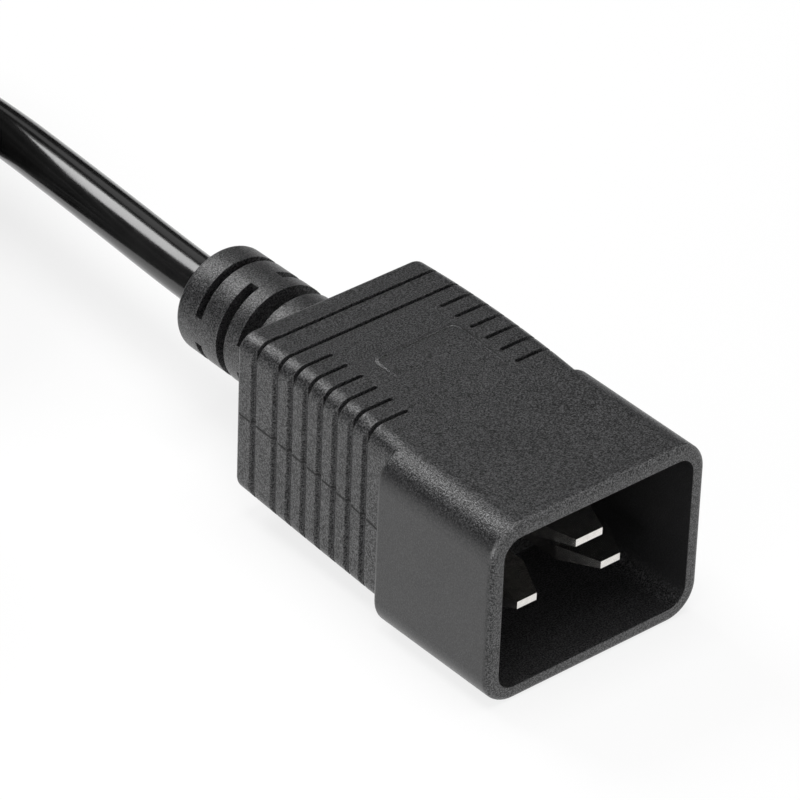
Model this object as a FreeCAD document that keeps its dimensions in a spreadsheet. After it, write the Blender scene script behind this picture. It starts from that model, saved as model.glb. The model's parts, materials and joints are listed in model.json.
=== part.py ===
"""Moulded C20 power plug on a round three-core cord, with a moulded C19 connector at its far end.

Frame: +Z up, the opening of the plug faces -Y and the cord leaves along +Y. The origin is at the
middle of the plug's length, on the surface that the plug stands on. All sizes in millimetres.
"""
import FreeCAD, Part
import math
import os
import re
import Sketcher

from FreeCAD import Placement, Rotation, Vector

SIZES = (
    # shroud: the open box that surrounds the pins
    ("opening_width", 29.2), ("opening_height", 21.3), ("opening_corner", 2.5),
    ("shroud_wall", 1.9), ("shroud_length", 20.5), ("cavity_depth", 19.6),
    ("rim_round", 0.8), ("heel_round", 0.7),
    # grip: heights are measured from the axis of the opening
    ("grip_side_step", 2.0), ("grip_bottom_step", 1.5), ("grip_top_step", 0.1),
    ("grip_length", 28.2), ("grip_root", 2.0), ("crown_place", 18.0), ("crown_rise", 1.2),
    ("belly_rise", 1.2), ("back_fall", 0.4), ("back_rise", 1.9), ("grip_corner", 2.3),
    ("back_round", 0.7),
    # grooves pressed into the grip, narrow above and below and wider at the sides
    ("groove_width", 0.6), ("groove_depth", 0.6), ("side_groove_width", 1.1),
    ("side_groove_depth", 0.45), ("groove_start", 4.2), ("groove_pitch", 2.74),
    ("groove_count", 6), ("groove_inner_end", 8.3), ("ring_groove_gap", 2.8),
    ("last_groove_gap", 4.0),
    # strain relief
    ("axis_rise", 2.0), ("boot_length", 21.0), ("boot_radius", 7.2), ("boot_draft", 0.15),
    ("boot_round", 0.9), ("slot_floor", 4.2), ("slot_bridge", 15.0),
    ("back_slot_width", 1.2), ("back_slot_place", 4.4),
    ("middle_slot_width", 1.5), ("middle_slot_place", 8.9),
    ("front_slot_width", 2.4), ("front_slot_place", 13.1),
    # pins, and the block that holds them
    ("pin_pitch", 13.0), ("earth_offset", 8.0), ("pin_row_drop", 3.6),
    ("blade_width", 8.0), ("blade_thickness", 2.0), ("pin_setback", 4.6), ("earth_lead", 3.0),
    ("tip_width", 3.0), ("earth_tip_width", 4.1), ("tip_thickness", 1.0), ("tip_length", 5.2),
    ("blade_seat", 2.0), ("shank_width", 4.6), ("shank_thickness", 1.2),
    ("carrier_width", 23.4), ("carrier_height", 15.4), ("carrier_length", 9.0),
    ("carrier_corner", 2.0), ("shank_tail", 3.0), ("barrel_radius", 1.9), ("barrel_length", 4.5),
    # wiring
    ("cord_diameter", 6.5), ("core_diameter", 2.4), ("core_spacing", 2.44),
    ("strand_diameter", 1.5), ("strand_bare", 0.8), ("core_straight", 2.6),
    ("jacket_inset", 17.0),
    # spare length, wound up and tied
    ("coil_diameter", 68.0), ("turn_spacing", 6.6), ("coil_rings", 2), ("coil_layers", 3),
    ("tie_thickness", 1.0), ("tie_width", 12.0), ("tie_place", 75.0),
    # connector at the far end
    ("nose_width", 27.6), ("nose_height", 19.8), ("nose_length", 23.5), ("nose_corner", 2.0),
    ("nose_seat", 6.0), ("socket_width", 31.0), ("socket_height", 23.2),
    ("socket_length", 26.0), ("socket_corner", 4.0), ("socket_round", 1.5),
    ("socket_boot_length", 21.0),
    ("entry_width", 8.6), ("entry_height", 2.8), ("entry_depth", 20.0),
    ("leaf_width", 6.4), ("leaf_thickness", 0.5), ("leaf_length", 9.0), ("contact_root", 1.2),
    ("tail_inset", 7.0),
)

# The cord's route, chosen by hand: from inside the strain relief to the outer middle turn of the
# coil, and from its outer top turn, over the coil and round, to the connector that lies on it.
LEAD = ((0.0, 28.0, 14.55), (0.0, 40.5, 14.55), (1.8, 64.0, 14.1), (4.8, 90.0, 12.0),
        (3.4, 106.0, 10.9))
TAIL = ((-41.3, 68.7, 18.5), (-26.5, 68.7, 22.0), (-12.8, 74.4, 24.0), (-2.3, 84.9, 24.3),
        (7.2, 100.2, 24.2), (14.4, 121.0, 23.4), (9.1, 142.4, 22.6), (-7.0, 157.4, 23.2),
        (-28.7, 161.2, 25.6), (-48.9, 152.6, 29.0), (-61.2, 134.4, 32.4),
        (-61.2, 112.4, 32.4))

# Formulas used in several places, in the words of the sheet.
PLUG_LENGTH = "(shroud_length + grip_length + boot_length)"
RIM = "(-%s / 2)" % PLUG_LENGTH
TOP = "(opening_height / 2 + shroud_wall)"
SIDE = "(opening_width / 2 + shroud_wall)"
STEP = "(%s + shroud_length)" % RIM
GRIP_BACK = "(%s + grip_length)" % STEP
BOOT_END = "(%s / 2)" % PLUG_LENGTH
FLOOR = "(%s + cavity_depth)" % RIM
GRIP_SIDE = "(%s - grip_side_step)" % SIDE
GRIP_TOP = "(%s - grip_top_step)" % TOP
GRIP_BOTTOM = "(%s - grip_bottom_step)" % TOP
BOOT_ROOT = "(boot_radius + boot_draft)"
AXIS = "(%s + axis_rise)" % TOP
ROW_HEIGHT = "(%s - pin_row_drop)" % TOP
BARREL = "(%s + carrier_length + shank_tail)" % FLOOR
JACKET = "(%s - jacket_inset)" % BOOT_END

SOCKET_BODY = "(socket_length + socket_boot_length)"
SOCKET_FRONT = "(-(nose_length + %s) / 2)" % SOCKET_BODY
SOCKET_STEP = "(%s + nose_length)" % SOCKET_FRONT
SOCKET_END = "((nose_length + %s) / 2)" % SOCKET_BODY
SOCKET_AXIS = "(socket_height / 2)"
SOCKET_SEAT = "(%s + nose_seat)" % SOCKET_STEP
SOCKET_BARREL = "(%s + shank_tail)" % SOCKET_SEAT
SOCKET_JACKET = "(%s - jacket_inset)" % SOCKET_END

doc = FreeCAD.newDocument("PowerCord")
sheet = doc.addObject("Spreadsheet::Sheet", "Sizes")
for row, (alias, value) in enumerate(SIZES, start=1):
    sheet.set("A%d" % row, alias)
    sheet.set("B%d" % row, str(value))
    sheet.setAlias("B%d" % row, alias)
doc.recompute()

WORDS = re.compile(r"\b(%s)\b" % "|".join(alias for alias, _ in SIZES))


def formula(text):
    """A formula as FreeCAD reads it, with each word of the sheet in full."""
    return WORDS.sub(r"Sizes.\1", str(text))


def number(text):
    """The present value of a formula."""
    return float(sheet.evalExpression(formula(text)))


def bind(item, **formulas):
    """Bind properties to formulas; a double underscore stands for a dot."""
    for name, text in formulas.items():
        item.setExpression(name.replace("__", "."), formula(text))


# ---------------------------------------------------------------- helpers for bodies

def new_body(name):
    return doc.addObject("PartDesign::Body", name)


def plane(body, role):
    """One of a body's own origin planes, found by its role."""
    return next(item for item in body.Origin.OriginFeatures if item.Role == role)


def place_on(item, body, role, x="0", y="0", along="0"):
    """Attach to an origin plane, moved in the plane and along its normal."""
    item.AttachmentSupport = [(plane(body, role), "")]
    item.MapMode = "FlatFace"
    bind(item, AttachmentOffset__Base__x=x, AttachmentOffset__Base__y=y,
         AttachmentOffset__Base__z=along)


def section(body, name, y, height, half, below, above, corner):
    """A rounded rectangle across the Y axis at y, around a point at the given height."""
    sketch = body.newObject("Sketcher::SketchObject", name)
    place_on(sketch, body, "XZ_Plane", y=height, along="-(%s)" % y)
    w, b, t, r = number(half), number(below), number(above), number(corner)
    corners = [Vector(-w, -b), Vector(w, -b), Vector(w, t), Vector(-w, t)]
    turns = [(180, Vector(-w + r, -b + r)), (270, Vector(w - r, -b + r)),
             (0, Vector(w - r, t - r)), (90, Vector(-w + r, t - r))]
    for i in range(4):
        start, end = corners[i], corners[(i + 1) % 4]
        along = (end - start).normalize() * r
        sketch.addGeometry(Part.LineSegment(start + along, end - along))
    for angle, centre in turns:
        circle = Part.Circle(centre, Vector(0, 0, 1), r)
        sketch.addGeometry(Part.ArcOfCircle(circle, math.radians(angle),
                                            math.radians(angle + 90)))
    rules = []
    for i in range(4):
        rules.append(Sketcher.Constraint("Tangent", i, 1, 4 + i, 2))
        rules.append(Sketcher.Constraint("Tangent", i, 2, 4 + (i + 1) % 4, 1))
        rules.append(Sketcher.Constraint("Horizontal" if i % 2 == 0 else "Vertical", i))
    rules += [Sketcher.Constraint("Equal", 4, 4 + i) for i in (1, 2, 3)]
    sketch.addConstraint(rules)
    sizes = (("corner", Sketcher.Constraint("Radius", 4, r), corner),
             ("right", Sketcher.Constraint("DistanceX", -1, 1, 1, 1, w), half),
             ("left", Sketcher.Constraint("DistanceX", 3, 1, -1, 1, w), half),
             ("above", Sketcher.Constraint("DistanceY", -1, 1, 2, 1, t), above),
             ("below", Sketcher.Constraint("DistanceY", 0, 1, -1, 1, b), below))
    for word, rule, text in sizes:
        index = sketch.addConstraint(rule)
        sketch.renameConstraint(index, word)
        sketch.setExpression("Constraints." + word, formula(text))
    return sketch


def pad(body, name, sketch, length, forward=True):
    """Extrude along +Y, or along -Y."""
    item = body.newObject("PartDesign::Pad", name)
    item.Profile = sketch
    item.Reversed = forward
    bind(item, Length=length)
    return item


def pocket(body, name, sketch, length):
    """Cut along +Y to a depth, and check that something was cut away."""
    doc.recompute()
    before = body.Tip.Shape.Volume
    item = body.newObject("PartDesign::Pocket", name)
    item.Profile = sketch
    bind(item, Length=length)
    doc.recompute()
    assert item.Shape.Volume < before - 1, name + " cut nothing"
    return item


def loft(body, name, sections):
    item = body.newObject("PartDesign::AdditiveLoft", name)
    item.Profile = sections[0]
    item.Sections = sections[1:]
    return item


def round_edges(body, name, radius, test):
    """Fillet the edges of the body so far whose box passes the test."""
    doc.recompute()
    tip = body.Tip
    edges = ["Edge%d" % (i + 1) for i, edge in enumerate(tip.Shape.Edges)
             if test(edge.BoundBox)]
    assert edges, name + " found no edge"
    item = body.newObject("PartDesign::Fillet", name)
    item.Base = (tip, edges)
    bind(item, Radius=radius)
    return item


def flat_at(y):
    """Test for edges that lie at y."""
    place = number(y)
    return lambda box: abs(box.YMin - place) < 1e-4 and abs(box.YMax - place) < 1e-4


# ---------------------------------------------------------------- helpers for primitives

def box(name, x, y, z, width, length, height):
    """A box centred on x and z, running along +Y from y."""
    item = doc.addObject("Part::Box", name)
    bind(item, Width=length, Length=width, Height=height,
         Placement__Base__x="%s - (%s) / 2" % (x, width), Placement__Base__y=y,
         Placement__Base__z="%s - (%s) / 2" % (z, height))
    return item


def rod(name, x, y, z, radius, length):
    """A cylinder along +Y from y."""
    item = doc.addObject("Part::Cylinder", name)
    item.Placement = Placement(Vector(), Rotation(Vector(1, 0, 0), -90))
    bind(item, Radius=radius, Height=length, Placement__Base__x=x, Placement__Base__y=y,
         Placement__Base__z=z)
    return item


def fuse(name, items):
    item = doc.addObject("Part::MultiFuse", name)
    item.Shapes = items
    return item


def cut(name, base, tool):
    item = doc.addObject("Part::Cut", name)
    item.Base = base
    item.Tool = tool
    return item


def placed(name, item, placement):
    """The same piece at another place."""
    copy = doc.addObject("Part::Compound", name)
    copy.Links = [item]
    copy.Placement = placement
    return copy


def tube(name, points, radius, share=0.45):
    """A round tube: straight runs joined by tangent arcs, each as large as its runs allow."""
    points = [Vector(*point) for point in points]
    pieces, radii, start, length = [], [], points[0], 0.0
    for before, here, after in zip(points, points[1:], points[2:]):
        into, out = (here - before).normalize(), (after - here).normalize()
        reach = share * min((here - before).Length, (after - here).Length)
        turn = into.getAngle(out)
        bend = reach / math.tan(turn / 2)
        first = here - into * reach
        pieces.append(disc(start, into, radius).extrude(first - start))
        pivot = first + (out - into * math.cos(turn)).normalize() * bend
        axis = into.cross(out)
        pieces.append(disc(first, into, radius).revolve(pivot, axis, math.degrees(turn)))
        length += (first - start).Length + bend * turn
        start = here + out * reach
        radii.append(bend)
    last = points[-1] - start
    pieces.append(disc(start, last, radius).extrude(last))
    length += last.Length
    item = doc.addObject("Part::Feature", name)
    item.Shape = pieces[0].multiFuse(pieces[1:]).removeSplitter().Solids[0]
    ratio = item.Shape.Volume / (math.pi * radius ** 2 * length)
    print("%s: length %.1f, radii %s, volume / (section x length) %.4f"
          % (name, length, ", ".join("%.0f" % bend for bend in radii), ratio))
    return item


def disc(centre, normal, radius):
    """A round face across a direction."""
    return Part.Face(Part.Wire(Part.Circle(centre, normal, radius).toShape()))


# ---------------------------------------------------------------- plug moulding

def moulding():
    """Shroud, grip and strain relief as one outer form, with the open cavity."""
    body = new_body("Moulding")
    outer = section(body, "ShroudSection", RIM, TOP, SIDE, TOP, TOP,
                    "opening_corner + shroud_wall")
    pad(body, "Shroud", outer, "shroud_length")
    round_edges(body, "RimRound", "rim_round", flat_at(RIM))
    round_edges(body, "HeelRound", "heel_round", flat_at(STEP))
    loft(body, "Grip", grip_outline(body, "Grip", "0", "0"))
    round_edges(body, "BackRound", "back_round", flat_at(GRIP_BACK))
    boot(body, BOOT_END, "boot_length", AXIS)
    opening = section(body, "OpeningSection", RIM, TOP, "opening_width / 2",
                      "opening_height / 2", "opening_height / 2", "opening_corner")
    pocket(body, "Opening", opening, "cavity_depth")
    return body


def boot(body, end, length, height):
    """The round strain relief, slightly wider at its root, with a rounded end."""
    cone = body.newObject("PartDesign::AdditiveCone", body.Name + "Boot")
    place_on(cone, body, "XZ_Plane", y=height, along="-%s" % end)
    bind(cone, Radius1="boot_radius", Radius2=BOOT_ROOT, Height=length)
    round_edges(body, body.Name + "BootRound", "boot_round", flat_at(end))


def grip_outline(body, name, inset, side_inset):
    """Three sections of the grip: at its root, at the crown and at its back."""
    crown = "(%s + crown_place)" % STEP
    side = "%s - %s" % (GRIP_SIDE, side_inset)
    stations = ((STEP + " - grip_root", GRIP_BOTTOM, GRIP_TOP),
                (crown, GRIP_BOTTOM + " - belly_rise", GRIP_TOP + " + crown_rise"),
                (GRIP_BACK, GRIP_BOTTOM + " - back_rise",
                 GRIP_TOP + " + crown_rise - back_fall"))
    return [section(body, "%sSection%d" % (name, i + 1), y, TOP, side,
                    "%s - %s" % (below, inset), "%s - %s" % (above, inset), "grip_corner")
            for i, (y, below, above) in enumerate(stations)]


def groove_cutter():
    """Slabs across the grip, less its core, and wider bevelled bars along its sides."""
    wide = "4 * %s" % SIDE
    inner = "(groove_inner_end + groove_width / 2)"
    first = "(%s + groove_start)" % STEP
    short = ["%s + %d * groove_pitch" % (first, i) for i in range(int(number("groove_count")))]
    last = short[-1] + " + ring_groove_gap"
    rings = [last, last + " + last_groove_gap"]
    slabs, bars = [], []
    for i, y in enumerate(short, start=1):
        for side, word in ((1, "Right"), (-1, "Left")):
            slabs.append(box("Groove%s%d" % (word, i), "%d * (%s + %s / 2)" % (side, inner, wide),
                             y + " - groove_width / 2", TOP, wide, "groove_width",
                             "4 * %s" % TOP))
            end = doc.addObject("Part::Cylinder", "GrooveEnd%s%d" % (word, i))
            bind(end, Radius="groove_width / 2", Height="4 * %s" % TOP,
                 Placement__Base__x="%d * %s" % (side, inner), Placement__Base__y=y,
                 Placement__Base__z="-%s" % TOP)
            slabs.append(end)
    for i, y in enumerate(rings, start=1):
        slabs.append(box("RingGroove%d" % i, "0", y + " - groove_width / 2", TOP, wide,
                         "groove_width", "4 * %s" % TOP))
    for i, y in enumerate(short + rings, start=1):
        bars += [side_bar("SideBar%s%d" % (word, i), side, y)
                 for side, word in ((1, "Right"), (-1, "Left"))]
    core = new_body("GripCore")
    loft(core, "Core", grip_outline(core, "Core", "groove_depth", "side_groove_depth"))
    return fuse("Grooves", [cut("TopGrooves", fuse("GrooveSlabs", slabs), core)] + bars)


def side_bar(name, side, y):
    """A bar along one side of the grip: as wide as the groove at its floor, wider outside."""
    bar = doc.addObject("Part::Wedge", name)
    bar.Placement = Placement(Vector(), Rotation(Vector(0, 0, 1), -90 * side))
    bind(bar, Xmin="-groove_width / 2", Xmax="groove_width / 2", Ymin="0",
         Ymax="side_groove_depth", Zmin="-2 * %s" % TOP, Zmax="2 * %s" % TOP,
         X2min="-side_groove_width / 2", X2max="side_groove_width / 2",
         Z2min="-2 * %s" % TOP, Z2max="2 * %s" % TOP,
         Placement__Base__x="%d * (%s - side_groove_depth)" % (side, GRIP_SIDE),
         Placement__Base__y="%s + (side_groove_width - groove_width) / 2" % y,
         Placement__Base__z=TOP)
    return bar


def slot_cutter(prefix, end, height):
    """Three rows of part-ring slots round the strain relief, each row turned by a quarter."""
    sectors = []
    for word, centre in (("back", 90), ("middle", 0), ("front", 90)):
        for half in (0, 180):
            sector = doc.addObject("Part::Cylinder", "%s%sSlot%d" % (prefix, word.title(), half))
            turn = centre + half + 90 + number("slot_bridge")
            sector.Placement = Placement(Vector(), Rotation(Vector(0, 1, 0), turn)
                                         * Rotation(Vector(1, 0, 0), -90))
            bind(sector, Radius="2 * boot_radius", Height=word + "_slot_width",
                 Angle="180 - 2 * slot_bridge", Placement__Base__z=height,
                 Placement__Base__y="%s - %s_slot_place - %s_slot_width / 2"
                 % (end, word, word))
            sectors.append(sector)
    sleeve = rod(prefix + "Sleeve", "0", end + " - boot_length", height, "slot_floor",
                 "boot_length")
    return cut(prefix + "Slots", fuse(prefix + "SlotSectors", sectors), sleeve)


# ---------------------------------------------------------------- pins and wiring

POLES = (
    # name, place across, height above the pin row, lead of the tip, width of the tip
    ("line", "-pin_pitch / 2", "0", "0", "tip_width"),
    ("neutral", "pin_pitch / 2", "0", "0", "tip_width"),
    ("earth", "0", "earth_offset", "earth_lead", "earth_tip_width"),
)


def crimp(title, x, y, z, parts):
    """Join the parts of a terminal with its crimp barrel, and bore the barrel for the wire."""
    wall = rod(title + "Barrel", x, y, z, "barrel_radius", "barrel_length")
    bore = rod(title + "Bore", x, y + " + shank_thickness", z, "strand_diameter / 2",
               "barrel_length")
    return cut(title, fuse(title + "Metal", parts + [wall]), bore)


def pin(name, x, z, lead, tip_width):
    """A flat blade with a tapered tip, a narrow shank and a crimp barrel."""
    title = name.title() + "Pin"
    tip_y = "%s + pin_setback - %s" % (RIM, lead)
    tip = doc.addObject("Part::Wedge", title + "Tip")
    bind(tip, Xmin="-%s / 2" % tip_width, Xmax="%s / 2" % tip_width, Ymin="0",
         Ymax="tip_length", Zmin="-tip_thickness / 2", Zmax="tip_thickness / 2",
         X2min="-blade_width / 2", X2max="blade_width / 2", Z2min="-blade_thickness / 2",
         Z2max="blade_thickness / 2", Placement__Base__x=x, Placement__Base__y=tip_y,
         Placement__Base__z=z)
    blade = box(title + "Blade", x, tip_y + " + tip_length", z, "blade_width",
                "cavity_depth - pin_setback + %s + blade_seat - tip_length" % lead,
                "blade_thickness")
    shank = box(title + "Shank", x, FLOOR + " + blade_seat", z, "shank_width",
                "carrier_length + shank_tail - blade_seat", "shank_thickness")
    return crimp(title, x, BARREL, z, [tip, blade, shank])


def contact(name, x, z):
    """Two spring leaves that grip a blade, joined at the root, with a shank and a barrel."""
    title = name.title() + "Contact"
    start = "(%s + entry_depth)" % SOCKET_FRONT
    leaves = [box("%sLeaf%d" % (title, side), x, start + " - leaf_length",
                  "%s + %d * (entry_height - leaf_thickness) / 2" % (z, side),
                  "leaf_width", "leaf_length", "leaf_thickness") for side in (-1, 1)]
    root = box(title + "Root", x, start, z, "leaf_width", "contact_root", "entry_height")
    shank = box(title + "Shank", x, start + " + contact_root", z, "shank_width",
                "%s + shank_tail - %s - contact_root" % (SOCKET_SEAT, start),
                "shank_thickness")
    return crimp(title, x, SOCKET_BARREL, z, leaves + [root, shank])


def wiring(prefix, mirror, barrel_y, jacket_y, row_height, axis_height):
    """Strands and cores of the three poles, from their barrels to the end of the jacket."""
    spread = number("core_spacing") / math.sqrt(3)
    cores, strands = [], []
    for (name, across, rise, _, _), angle in zip(POLES, (210, 330, 90)):
        x, z = "%d * (%s)" % (mirror, across), "%s + %s" % (row_height, rise)
        title = prefix + name.title()
        strands.append(rod(title + "Strands", x, barrel_y + " + shank_thickness", z,
                           "strand_diameter / 2",
                           "barrel_length - shank_thickness + strand_bare"))
        start = Vector(number(x), number(barrel_y + " + barrel_length + strand_bare"),
                       number(z))
        turn = math.radians(angle)
        end = Vector(mirror * spread * math.cos(turn), number(jacket_y),
                     number(axis_height) + spread * math.sin(turn))
        run = Vector(0, number("core_straight"), 0)
        cores.append(tube(title + "Core", [start, start + run, end - run, end],
                          number("core_diameter / 2")))
    return cores, strands


def block(name, front, height, width, tall, length, corner):
    """A rounded block along Y."""
    body = new_body(name)
    outline = section(body, name + "Section", front, height, "%s / 2" % width, "%s / 2" % tall,
                      "%s / 2" % tall, corner)
    pad(body, name + "Block", outline, length)
    return body


# ---------------------------------------------------------------- far connector

def socket_moulding():
    """Grip and strain relief of the connector, around the back of its nose."""
    body = new_body("SocketMoulding")
    half, tall = "socket_width / 2", "socket_height / 2"
    outline = section(body, "SocketSection", SOCKET_STEP, SOCKET_AXIS, half, tall, tall,
                      "socket_corner")
    pad(body, "SocketGrip", outline, "socket_length")
    round_edges(body, "SocketRound", "socket_round",
                flat_at("%s + socket_length" % SOCKET_STEP))
    boot(body, SOCKET_END, "socket_boot_length", SOCKET_AXIS)
    return body


# ---------------------------------------------------------------- wound length

def wound_cord(centre, low):
    """The outer form of the wound turns, with its edges eased."""
    ring = []
    for word, side in (("Outer", 1), ("Inner", -1)):
        wall = doc.addObject("Part::Cylinder", "Coil" + word)
        wall.Placement.Base = Vector(centre.x, centre.y, low)
        bind(wall, Radius="coil_diameter / 2 + %d * coil_rings * turn_spacing / 2" % side,
             Height="coil_layers * turn_spacing")
        ring.append(wall)
    blank = cut("CoilBlank", *ring)
    doc.recompute()
    eased = doc.addObject("Part::Chamfer", "Coil")
    eased.Base = blank
    reach = number("cord_diameter") * 0.3
    eased.Edges = [(i + 1, reach, reach) for i, edge in enumerate(blank.Shape.Edges)
                   if edge.BoundBox.ZLength < 1e-6]
    return eased


def cord_tie(centre, coil):
    """A strap around the turns, closed on itself."""
    strap = doc.addObject("Part::Box", "TieBlank")
    turn = Rotation(Vector(0, 0, 1), number("tie_place"))
    inner = number("coil_diameter / 2 - coil_rings * turn_spacing / 2 - tie_thickness")
    strap.Placement = Placement(
        Vector(centre.x, centre.y, 0) + turn.multVec(Vector(inner, -number("tie_width / 2"), 0)),
        turn)
    bind(strap, Length="coil_rings * turn_spacing + 2 * tie_thickness", Width="tie_width",
         Height="coil_layers * turn_spacing + 2 * tie_thickness")
    return cut("Tie", strap, coil)


# ---------------------------------------------------------------- build

nodes = {}


def keep(label, item):
    """Give a finished sub-part the label that names its file."""
    item.Label = label
    nodes[label] = item
    return item


def build_plug():
    """The plug: three pins in their block, the wiring behind them and the moulding around."""
    pins = [keep(name + "_pin", pin(name, x, "%s + %s" % (ROW_HEIGHT, rise), lead, tip))
            for name, x, rise, lead, tip in POLES]
    blank = block("Carrier", FLOOR, TOP, "carrier_width", "carrier_height", "carrier_length",
                  "carrier_corner")
    keep("pin_carrier", cut("PinCarrier", blank, fuse("PinSet", pins)))
    cores, strands = wiring("Plug", 1, BARREL, JACKET, ROW_HEIGHT, AXIS)
    for pole, core, strand in zip(POLES, cores, strands):
        keep(pole[0] + "_core", core)
        keep(pole[0] + "_strands", strand)
    jacket = rod("PlugJacket", "0", JACKET, AXIS, "cord_diameter / 2", "jacket_inset")
    form = cut("GroovedMoulding", moulding(), groove_cutter())
    form = cut("SlottedMoulding", form, slot_cutter("Plug", BOOT_END, AXIS))
    filling = fuse("PlugFilling", [blank, jacket] + pins + cores + strands)
    keep("plug_overmould", cut("Overmould", form, filling))


def build_socket(placement):
    """The far connector, built along its own axis and then moved to the end of the cord."""
    row_height = "(%s - pin_row_drop)" % SOCKET_AXIS
    contacts = [contact(name, "-1 * (%s)" % x, "%s + %s" % (row_height, rise))
                for name, x, rise, _, _ in POLES]
    nose = block("Nose", SOCKET_FRONT, SOCKET_AXIS, "nose_width", "nose_height",
                 "nose_length + nose_seat", "nose_corner")
    entries = [box(name.title() + "Entry", "-1 * (%s)" % x, SOCKET_FRONT,
                   "%s + %s" % (row_height, rise), "entry_width", "entry_depth",
                   "entry_height") for name, x, rise, _, _ in POLES]
    insert = cut("NoseInsert", nose, fuse("NoseOpenings", entries + contacts))
    cores, strands = wiring("Socket", -1, SOCKET_BARREL, SOCKET_JACKET, row_height,
                            SOCKET_AXIS)
    jacket = rod("SocketJacket", "0", SOCKET_JACKET, SOCKET_AXIS, "cord_diameter / 2",
                 "jacket_inset")
    form = cut("SocketSlotted", socket_moulding(),
               slot_cutter("Socket", SOCKET_END, SOCKET_AXIS))
    filling = fuse("SocketFilling", [nose, jacket] + contacts + cores + strands)
    keep("connector_overmould",
         placed("ConnectorBody", cut("SocketOvermould", form, filling), placement))
    keep("contact_carrier", placed("ConnectorNose", insert, placement))
    for pole, metal, core, strand in zip(POLES, contacts, cores, strands):
        keep(pole[0] + "_contact", placed(pole[0].title() + "ContactPlaced", metal, placement))
        keep(pole[0] + "_connector_core",
             placed(pole[0].title() + "CorePlaced", core, placement))
        keep(pole[0] + "_connector_strands",
             placed(pole[0].title() + "StrandsPlaced", strand, placement))


def socket_placement():
    """The connector's boot takes the last run of the cord, and its base stands level."""
    before, end = Vector(*TAIL[-2]), Vector(*TAIL[-1])
    back = (before - end).normalize()
    turn = Rotation(Vector(0, 0, 1), math.degrees(math.atan2(-back.x, back.y)))
    inside = Vector(0, number(SOCKET_END + " - tail_inset"), number(SOCKET_AXIS))
    return Placement(end - turn.multVec(inside), turn)


def build_cord(placement):
    """The cord from plug to connector, with its spare length wound and tied."""
    outer_turn = number("coil_diameter / 2 + (coil_rings - 1) * turn_spacing / 2")
    centre = Vector(LEAD[-1][0] - outer_turn, LEAD[-1][1], 0)
    coil = keep("cord_coil", wound_cord(centre, number("tie_thickness")))
    keep("coil_tie", cord_tie(centre, coil))
    radius = number("cord_diameter / 2")
    start = rod("LeadJacket", "0", JACKET, AXIS, "cord_diameter / 2",
                "%s - %s" % (LEAD[0][1], JACKET))
    lead = fuse("Lead", [start, tube("LeadTube", LEAD, radius)])
    keep("cord", cut("LeadToCoil", lead, coil))
    end = placed("TailJacket", rod("TailJacketRun", "0", SOCKET_JACKET, SOCKET_AXIS,
                                   "cord_diameter / 2", "jacket_inset - tail_inset"),
                 placement)
    tail = fuse("Tail", [end, tube("TailTube", TAIL, radius)])
    keep("cord_tail", cut("TailFromCoil", tail, coil))


build_plug()
place = socket_placement()
build_socket(place)
build_cord(place)
doc.recompute()

for item in doc.Objects:
    if "Invalid" in item.State or "Error" in item.State:
        raise RuntimeError("%s failed" % item.Name)
os.makedirs("parts", exist_ok=True)
for label, item in nodes.items():
    shape = item.Shape
    assert not shape.isNull() and shape.isValid() and len(shape.Solids) == 1, label
    shape.exportStep("parts/%s.step" % label)
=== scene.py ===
"""Looks for the C20 power plug: materials, the round cord on its real route, studio and camera."""
import json
import math

import bpy
from mathutils import Matrix, Vector
from mathutils.bvhtree import BVHTree


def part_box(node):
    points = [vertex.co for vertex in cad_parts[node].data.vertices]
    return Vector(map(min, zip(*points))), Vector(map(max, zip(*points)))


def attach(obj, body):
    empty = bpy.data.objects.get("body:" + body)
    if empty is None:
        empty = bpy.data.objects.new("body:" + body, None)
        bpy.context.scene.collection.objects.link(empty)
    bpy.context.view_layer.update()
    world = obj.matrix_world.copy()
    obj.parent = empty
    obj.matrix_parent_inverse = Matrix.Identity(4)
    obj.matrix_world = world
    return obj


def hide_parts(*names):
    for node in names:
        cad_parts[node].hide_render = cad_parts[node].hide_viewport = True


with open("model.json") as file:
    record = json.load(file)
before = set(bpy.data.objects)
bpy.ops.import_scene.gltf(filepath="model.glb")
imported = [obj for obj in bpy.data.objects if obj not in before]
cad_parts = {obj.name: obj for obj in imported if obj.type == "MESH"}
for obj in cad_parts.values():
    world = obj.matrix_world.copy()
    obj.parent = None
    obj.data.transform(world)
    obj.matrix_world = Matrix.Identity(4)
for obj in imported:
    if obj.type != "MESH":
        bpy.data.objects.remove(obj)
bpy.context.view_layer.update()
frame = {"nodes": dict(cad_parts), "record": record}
MM = 0.001

# The plug as packed
plug_low, plug_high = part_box("plug_overmould")
CORD_DIAMETER = 6.5 * MM
SHROUD_LENGTH = 20.5 * MM
BOOT_AND_ROUND = 21.6 * MM
BOOT_END = plug_high[1]
SHROUD_END = plug_low[1] + SHROUD_LENGTH
GRIP_END = BOOT_END - BOOT_AND_ROUND

# The bare panel on the grip, in millimetres: its sides, back, corner radius and the edge's height
PANEL_LEFT, PANEL_RIGHT, PANEL_BACK, PANEL_CORNER = -5.1, 7.1, -0.4, 0.9
PANEL_STEP = 0.5
EDGE_HEIGHT = 0.16
EDGE_SINK = -0.02

# The mould's parting line: half its width and how proud it is, in millimetres, its points, and
# its height above the floor as a curve along the grip
LINE_HALF_WIDTH = 0.15
LINE_PROUD = 0.02
LINE_POINTS = 280
LINE_START, LINE_SLOPE, LINE_SAG = 14.2 * MM, 0.094, 2.9

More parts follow.
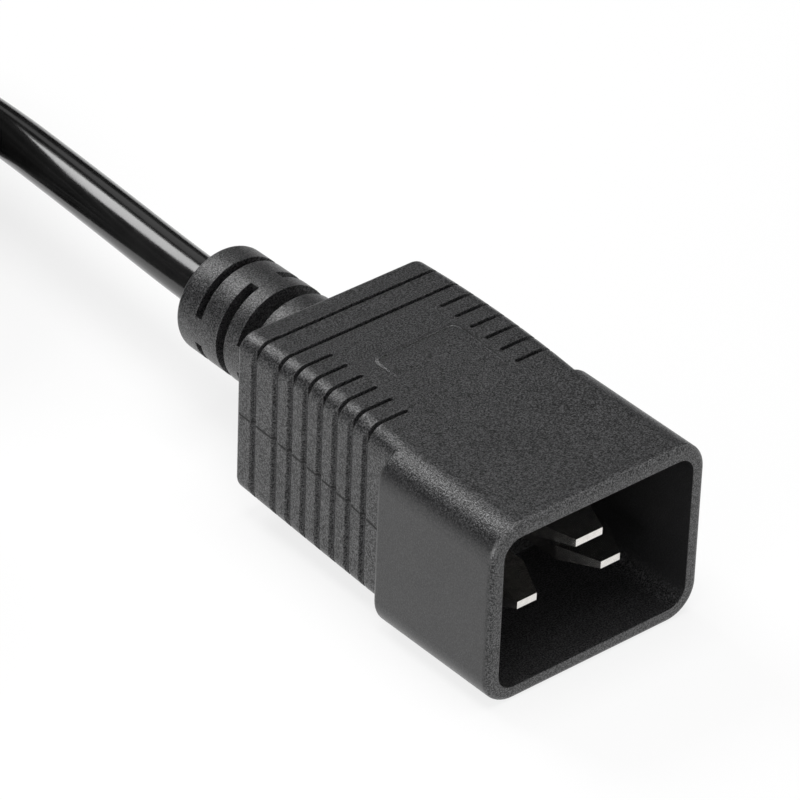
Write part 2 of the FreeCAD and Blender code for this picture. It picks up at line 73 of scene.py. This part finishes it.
# The cord's route, as in the part's source, in millimetres
LEAD = ((0.0, 28.0, 14.55), (0.0, 40.5, 14.55), (1.8, 64.0, 14.1), (4.8, 90.0, 12.0),
        (3.4, 106.0, 10.9))
TAIL = ((-41.3, 68.7, 18.5), (-26.5, 68.7, 22.0), (-12.8, 74.4, 24.0), (-2.3, 84.9, 24.3),
        (7.2, 100.2, 24.2), (14.4, 121.0, 23.4), (9.1, 142.4, 22.6), (-7.0, 157.4, 23.2),
        (-28.7, 161.2, 25.6), (-48.9, 152.6, 29.0), (-61.2, 134.4, 32.4),
        (-61.2, 112.4, 32.4))
CORD_START = (0.0, 17.85, 14.55)
CORD_STOP = (-61.2, 105.0, 32.4)
COIL_DIAMETER = 68.0
TURN_SPACING = 6.6
LOWEST_TURN = 4.3
POINTS_PER_TURN = 16
COIL_STEPS = 91
# The turns in their order as (ring from inside, layer from below), and where, in degrees before
# a full turn, the cord starts to cross from each to the next
TURNS = ((1, 1), (1, 0), (0, 0), (0, 1), (0, 2), (1, 2))
CROSSINGS = (39, 54, 69, 69, 84)
CROSSING_ANGLE = 29


# The view: angles in degrees, place in millimetres, a long lens on a 36 mm sensor
VIEW_AZIMUTH, VIEW_ELEVATION, VIEW_ROLL = -41.37, 34.44, 2.18
VIEW_PLACE = (-389.47, -441.49, 421.73)
LENS, SENSOR = 270.0, 36.0

# What the lamps aim at, and how strongly the surroundings light what isn't glossy
AIM = (0, 0, 0.012)
WORLD_FILL = 0.2
FLOOR_GLOW = 0.8


# ---------------------------------------------------------------- materials

def material(name):
    """A node material with its shader and output."""
    made = bpy.data.materials.new(name)
    made.use_nodes = True
    tree = made.node_tree
    return made, tree.nodes, tree.links, tree.nodes["Principled BSDF"]


def noise(nodes, links, coordinates, scale, detail=2.0, roughness=0.5):
    """Noise over the object's own coordinates, from 0 to 1."""
    texture = nodes.new("ShaderNodeTexNoise")
    texture.inputs["Scale"].default_value = scale
    texture.inputs["Detail"].default_value = detail
    texture.inputs["Roughness"].default_value = roughness
    links.new(coordinates, texture.inputs["Vector"])
    return texture.outputs["Fac"]


def ramp(nodes, links, source, stops):
    """Colour ramp; each stop is (place, grey or colour)."""
    node = nodes.new("ShaderNodeValToRGB")
    while len(node.color_ramp.elements) < len(stops):
        node.color_ramp.elements.new(0.5)
    for element, (place, value) in zip(node.color_ramp.elements, stops):
        colour = value if isinstance(value, tuple) else (value, value, value)
        element.position = place
        element.color = (*colour, 1.0)
    links.new(source, node.inputs["Fac"])
    return node.outputs["Color"]


def bump(nodes, links, height, distance, strength, normal=None):
    """A bump of the given depth, on top of another normal if there is one."""
    node = nodes.new("ShaderNodeBump")
    node.inputs["Distance"].default_value = distance
    node.inputs["Strength"].default_value = strength
    links.new(height, node.inputs["Height"])
    if normal:
        links.new(normal, node.inputs["Normal"])
    return node.outputs["Normal"]


def step_between(nodes, links, source, low, high):
    """0 below low, 1 above high, for a value of the object's own coordinates or normal."""
    node = nodes.new("ShaderNodeMapRange")
    node.inputs["From Min"].default_value = low
    node.inputs["From Max"].default_value = high
    links.new(source, node.inputs["Value"])
    return node.outputs["Result"]


def combine(nodes, links, operation, *values):
    """One step of arithmetic on numbers and outputs."""
    node = nodes.new("ShaderNodeMath")
    node.operation = operation
    for socket, value in zip(node.inputs, values):
        if isinstance(value, float):
            socket.default_value = value
        else:
            links.new(value, socket)
    return node.outputs["Value"]


def moulded_pvc():
    """Black PVC: spark-eroded grain all over, but fine and even on the shroud's two sides."""
    made, nodes, links, shader = material("moulded_pvc")
    coordinates = nodes.new("ShaderNodeTexCoord")
    place = coordinates.outputs["Object"]
    across = nodes.new("ShaderNodeSeparateXYZ")
    links.new(coordinates.outputs["Normal"], across.inputs["Vector"])
    along = nodes.new("ShaderNodeSeparateXYZ")
    links.new(place, along.inputs["Vector"])
    sideways = combine(nodes, links, "ABSOLUTE", across.outputs["X"])
    top = step_between(nodes, links, sideways, 0.95, 0.7)
    grip = step_between(nodes, links, along.outputs["Y"], SHROUD_END - 0.2 * MM,
                        SHROUD_END + 0.1 * MM)
    coarse = combine(nodes, links, "MAXIMUM", top, grip)
    share = combine(nodes, links, "MULTIPLY_ADD", coarse, 0.75, 0.25)
    grain = noise(nodes, links, place, 5200.0, 2.0, 0.6)
    fine = noise(nodes, links, place, 9000.0, 1.0)
    patches = noise(nodes, links, place, 130.0, 3.0)
    centred = combine(nodes, links, "SUBTRACT", grain, 0.5)
    scaled = combine(nodes, links, "MULTIPLY", centred, share)
    level = combine(nodes, links, "ADD", scaled, 0.5)
    links.new(ramp(nodes, links, level, ((0.36, (0.002, 0.002, 0.0022)),
                                         (0.50, (0.009, 0.009, 0.0095)),
                                         (0.64, (0.045, 0.045, 0.047)))),
              shader.inputs["Base Color"])
    links.new(ramp(nodes, links, patches, ((0.3, 0.33), (0.7, 0.39))),
              shader.inputs["Roughness"])
    edge = nodes.new("ShaderNodeBevel")
    edge.samples = 4
    edge.inputs["Radius"].default_value = 0.18 * MM
    first = bump(nodes, links, level, 0.06 * MM, 1.0, edge.outputs["Normal"])
    links.new(bump(nodes, links, fine, 0.01 * MM, 0.6, first), shader.inputs["Normal"])
    links.new(ramp(nodes, links, level, ((0.36, 0.26), (0.64, 1.0))),
              shader.inputs["Specular IOR Level"])
    return made


def plain(name, colour, roughness, metallic=0.0, grain_scale=900.0, grain_depth=0.01):
    """A smooth finish with a faint grain and a slight change of gloss."""
    made, nodes, links, shader = material(name)
    place = nodes.new("ShaderNodeTexCoord").outputs["Object"]
    grain = noise(nodes, links, place, grain_scale, 3.0)
    dark = tuple(channel * 0.88 for channel in colour)
    links.new(ramp(nodes, links, grain, ((0.3, dark), (0.7, colour))),
              shader.inputs["Base Color"])
    links.new(ramp(nodes, links, grain, ((0.3, roughness * 0.85), (0.7, roughness * 1.15))),
              shader.inputs["Roughness"])
    links.new(bump(nodes, links, grain, grain_depth * MM, 0.4), shader.inputs["Normal"])
    shader.inputs["Metallic"].default_value = metallic
    return made


def cord_jacket():
    """Glossy extruded PVC: nearly black, with faint waves along its length."""
    made, nodes, links, shader = material("cord_jacket")
    place = nodes.new("ShaderNodeTexCoord").outputs["Object"]
    waves = noise(nodes, links, place, 160.0, 2.0)
    grain = noise(nodes, links, place, 2500.0, 2.0)
    links.new(ramp(nodes, links, waves, ((0.3, 0.006), (0.7, 0.010))),
              shader.inputs["Base Color"])
    links.new(ramp(nodes, links, waves, ((0.3, 0.13), (0.7, 0.19))),
              shader.inputs["Roughness"])
    first = bump(nodes, links, waves, 0.05 * MM, 0.5)
    links.new(bump(nodes, links, grain, 0.006 * MM, 0.5, first), shader.inputs["Normal"])
    shader.inputs["Specular IOR Level"].default_value = 0.6
    return made


FINISHES = {
    "pvc": moulded_pvc(),
    "carrier": plain("hard_insert", (0.010, 0.010, 0.011), 0.45),
    "nickel": plain("nickel_plate", (0.80, 0.78, 0.75), 0.22, 1.0, 1400.0, 0.004),
    "contact": plain("contact_brass", (0.66, 0.52, 0.27), 0.30, 1.0),
    "copper": plain("copper_strands", (0.72, 0.38, 0.22), 0.35, 1.0),
    "line_insulation": plain("brown_insulation", (0.20, 0.09, 0.04), 0.4),
    "neutral_insulation": plain("blue_insulation", (0.03, 0.12, 0.45), 0.4),
    "earth_insulation": plain("green_insulation", (0.20, 0.42, 0.05), 0.4),
    "jacket": cord_jacket(),
    "line": plain("mould_line", (0.003, 0.003, 0.003), 0.7),
    "tie": plain("tie_fabric", (0.020, 0.020, 0.022), 0.85, 0.0, 2200.0, 0.12),
}


def dress_nodes():
    """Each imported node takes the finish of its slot."""
    for part in frame["record"]["subparts"]:
        node = frame["nodes"][part["node"]]
        node.data.materials.clear()
        node.data.materials.append(FINISHES[part["material_slot"]])


# ---------------------------------------------------------------- cord

def coil_points():
    """The wound turns, anticlockwise: outside down, in, and up inside to the top outer turn."""
    outer = (COIL_DIAMETER + TURN_SPACING) / 2
    centre = (LEAD[-1][0] - outer, LEAD[-1][1])
    stretch = 1 / math.cos(math.pi / POINTS_PER_TURN)
    points = []
    for step in range(COIL_STEPS):
        angle = (step + 0.5) * 360 / POINTS_PER_TURN
        ring, layer = TURNS[0]
        for turn, crossing in enumerate(CROSSINGS, start=1):
            share = min(max((angle - 360 * turn + crossing) / CROSSING_ANGLE, 0.0), 1.0)
            ring += share * (TURNS[turn][0] - TURNS[turn - 1][0])
            layer += share * (TURNS[turn][1] - TURNS[turn - 1][1])
        radius = (outer + (ring - 1) * TURN_SPACING) * stretch
        points.append((centre[0] + radius * math.cos(math.radians(angle)),
                       centre[1] + radius * math.sin(math.radians(angle)),
                       LOWEST_TURN + layer * TURN_SPACING))
    return points


def make_cord():
    """One smooth cord from inside the strain relief, through the coil, to the connector."""
    route = [CORD_START, *LEAD[:-1], *coil_points(), *TAIL, CORD_STOP]
    data = bpy.data.curves.new("cord_line", "CURVE")
    data.dimensions = "3D"
    spline = data.splines.new("NURBS")
    spline.points.add(len(route) - 1)
    for point, place in zip(spline.points, route):
        point.co = (*[value * MM for value in place], 1.0)
    spline.order_u = 3
    spline.use_endpoint_u = True
    spline.resolution_u = 12
    data.bevel_depth = CORD_DIAMETER / 2
    data.bevel_resolution = 10
    data.use_fill_caps = True
    data.materials.append(FINISHES["jacket"])
    cord = bpy.data.objects.new("power_cord", data)
    bpy.context.collection.objects.link(cord)
    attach(cord, "root")
    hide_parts("cord", "cord_coil", "cord_tail")
    far = ["coil_tie", "connector_overmould", "contact_carrier"]
    for pole in ("line", "neutral", "earth"):
        far += [pole + "_contact", pole + "_connector_core", pole + "_connector_strands"]


# ---------------------------------------------------------------- thin trim

def mesh_piece(name, corners, faces, finish):
    """A thin piece of trim that belongs to the moulding."""
    data = bpy.data.meshes.new(name)
    data.from_pydata(corners, [], faces)
    data.update()
    data.materials.append(FINISHES[finish])
    piece = bpy.data.objects.new(name, data)
    bpy.context.collection.objects.link(piece)
    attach(piece, "root")


def panel_edge(surface):
    """The edge of the bare, slightly sunk panel on the grip, fading out towards its front."""
    front_of_turn = PANEL_BACK - PANEL_CORNER
    path = [((PANEL_LEFT, -5.4 + PANEL_STEP * step), (-1.0, 0.0), 0.018 * step)
            for step in range(9)]
    for centre, first in ((PANEL_LEFT + PANEL_CORNER, 180), (PANEL_RIGHT - PANEL_CORNER, 90)):
        for step in range(7):
            angle = math.radians(first - 15 * step)
            out = (math.cos(angle), math.sin(angle))
            place = (centre + PANEL_CORNER * out[0], front_of_turn + PANEL_CORNER * out[1])
            path.append((place, out, EDGE_HEIGHT))
    path += [((PANEL_RIGHT, front_of_turn - PANEL_STEP * step), (1.0, 0.0),
              EDGE_HEIGHT - 0.008 * step) for step in range(1, 19)]
    corners, faces = [], []
    for (x, y), out, height in path:
        for shift, proud in ((0.5, EDGE_SINK), (0.0, height), (-0.05, EDGE_SINK)):
            start = Vector(((x + shift * out[0]) * MM, (y + shift * out[1]) * MM, 0.1))
            level = surface.ray_cast(start, Vector((0, 0, -1)))[0].z
            corners.append((start.x, start.y, level + proud * MM))
    for i in range(0, len(corners) - 3, 3):
        faces += [(i, i + 1, i + 4, i + 3), (i + 1, i + 2, i + 5, i + 4)]
    mesh_piece("panel_edge", corners, faces, "pvc")


def parting_line(surface, side, word):
    """The fine line that the halves of the mould leave along a side of the grip."""
    corners, faces = [], []
    front = SHROUD_END + 0.1 * MM
    for step in range(LINE_POINTS):
        share = step / (LINE_POINTS - 1)
        y = front + share * (GRIP_END - front)
        z = LINE_START + LINE_SLOPE * y - LINE_SAG * y * y
        for rise in (-LINE_HALF_WIDTH, LINE_HALF_WIDTH):
            start = Vector((side * 0.1, y, z + rise * MM))
            place = surface.ray_cast(start, Vector((-side, 0, 0)))[0].x
            corners.append((place + side * LINE_PROUD * MM, y, z + rise * MM))
    for step in range(LINE_POINTS - 1):
        face = (2 * step, 2 * step + 2, 2 * step + 3, 2 * step + 1)
        faces.append(face if side > 0 else face[::-1])
    mesh_piece("parting_line_" + word, corners, faces, "line")


def thin_trim():
    """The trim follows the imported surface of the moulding."""
    overmould = frame["nodes"]["plug_overmould"].data
    surface = BVHTree.FromPolygons([corner.co for corner in overmould.vertices],
                                   [face.vertices for face in overmould.polygons])
    panel_edge(surface)
    parting_line(surface, -1, "left")
    parting_line(surface, 1, "right")


# ---------------------------------------------------------------- studio

def softbox(name, place, width, height, power):
    """A rectangular lamp that faces the plug."""
    data = bpy.data.lights.new(name, "AREA")
    data.shape = "RECTANGLE"
    data.size, data.size_y = width, height
    data.energy = power
    lamp = bpy.data.objects.new(name, data)
    lamp.location = place
    lamp.rotation_euler = (Vector(AIM) - Vector(place)).to_track_quat("-Z", "Y").to_euler()
    bpy.context.collection.objects.link(lamp)


def studio_card(name, place, width, height, glow=0.0, upright=True):
    """A card facing the set, black or faintly lit, that only reflections show."""
    bpy.ops.mesh.primitive_plane_add(size=1.0, location=place)
    card = bpy.context.object
    card.name = name
    card.scale = (width, height, 1.0)
    inward = Vector((-place[0], -place[1], 0.0)) if upright else Vector((0.0, 0.0, -1.0))
    card.rotation_euler = inward.to_track_quat("Z", "Y").to_euler()
    card.visible_camera = False
    card.visible_diffuse = False
    card.visible_transmission = False
    card.visible_shadow = False
    made, _, _, shader = material(name)
    shader.inputs["Base Color"].default_value = (0.0, 0.0, 0.0, 1.0)
    shader.inputs["Specular IOR Level"].default_value = 0.0
    shader.inputs["Emission Color"].default_value = (1.0, 1.0, 1.0, 1.0)
    shader.inputs["Emission Strength"].default_value = glow
    card.data.materials.append(made)


def studio():
    """White floor and surroundings; the lamps stay gentle."""
    world = bpy.data.worlds.new("studio_world")
    bpy.context.scene.world = world
    world.use_nodes = True
    nodes, links = world.node_tree.nodes, world.node_tree.links
    back = nodes["Background"]
    back.inputs["Color"].default_value = (1.0, 1.0, 1.0, 1.0)
    path = nodes.new("ShaderNodeLightPath")
    mirrored = combine(nodes, links, "MAXIMUM", path.outputs["Is Glossy Ray"],
                       path.outputs["Is Transmission Ray"])
    seen = combine(nodes, links, "MAXIMUM", path.outputs["Is Camera Ray"], mirrored)
    strength = nodes.new("ShaderNodeMapRange")
    strength.inputs["To Min"].default_value = WORLD_FILL
    strength.inputs["To Max"].default_value = 1.0
    links.new(seen, strength.inputs["Value"])
    links.new(strength.outputs[0], back.inputs["Strength"])

    bpy.ops.mesh.primitive_plane_add(size=6.0, location=(0, 0, 0))
    floor = bpy.context.object
    floor.name = "studio_floor"
    made, nodes, links, shader = material("studio_white")
    shader.inputs["Base Color"].default_value = (0.9, 0.9, 0.9, 1.0)
    shader.inputs["Roughness"].default_value = 0.9
    shader.inputs["Specular IOR Level"].default_value = 0.0
    path = nodes.new("ShaderNodeLightPath")
    glow = nodes.new("ShaderNodeEmission")
    glow.inputs["Strength"].default_value = 1.0
    mix = nodes.new("ShaderNodeMixShader")
    seen = combine(nodes, links, "MULTIPLY", path.outputs["Is Camera Ray"], FLOOR_GLOW)
    mirrored = combine(nodes, links, "MAXIMUM", path.outputs["Is Glossy Ray"],
                       path.outputs["Is Transmission Ray"])
    links.new(combine(nodes, links, "MAXIMUM", seen, mirrored), mix.inputs[0])
    links.new(shader.outputs[0], mix.inputs[1])
    links.new(glow.outputs[0], mix.inputs[2])
    links.new(mix.outputs[0], nodes["Material Output"].inputs["Surface"])
    floor.data.materials.append(made)

    softbox("key_back", (-0.05, 0.50, 0.50), 0.30, 0.30, 2.0)
    softbox("top", (0.0, -0.05, 0.75), 0.5, 0.5, 3.5)
    softbox("side_left", (-0.7, -0.1, 0.12), 0.6, 0.2, 3.0)
    softbox("fill_front", (-0.1, -0.7, 0.35), 0.5, 0.4, 1.5)
    studio_card("black_card_left", (-0.47, 0.33, 0.40), 0.76, 0.80)
    studio_card("black_card_right", (0.45, 0.48, 0.40), 0.72, 0.80)
    studio_card("black_card_above", (0.0, 0.45, 0.90), 1.4, 0.80, upright=False)
    studio_card("grey_card_right", (0.30, 0.34, 0.31), 0.28, 0.28, 0.5)


def camera():
    """A long lens, framed on the plug."""
    data = bpy.data.cameras.new("view")
    data.sensor_width = SENSOR
    data.lens = LENS
    data.clip_start = 0.05
    data.clip_end = 20.0
    view = bpy.data.objects.new("view", data)
    azimuth, elevation, roll = map(math.radians, (VIEW_AZIMUTH, VIEW_ELEVATION, VIEW_ROLL))
    back = Vector((math.sin(azimuth) * math.cos(elevation),
                   -math.cos(azimuth) * math.cos(elevation), math.sin(elevation)))
    right = Vector((0, 0, 1)).cross(back).normalized()
    up = back.cross(right)
    side = math.cos(roll) * right + math.sin(roll) * up
    high = math.cos(roll) * up - math.sin(roll) * right
    turn = Matrix((side, high, back)).transposed().to_4x4()
    place = Vector(VIEW_PLACE) * MM
    view.matrix_world = Matrix.Translation(place) @ turn
    bpy.context.collection.objects.link(view)
    bpy.context.scene.camera = view
    bpy.context.scene.view_settings.view_transform = "Standard"


dress_nodes()
make_cord()
thin_trim()
studio()
camera()
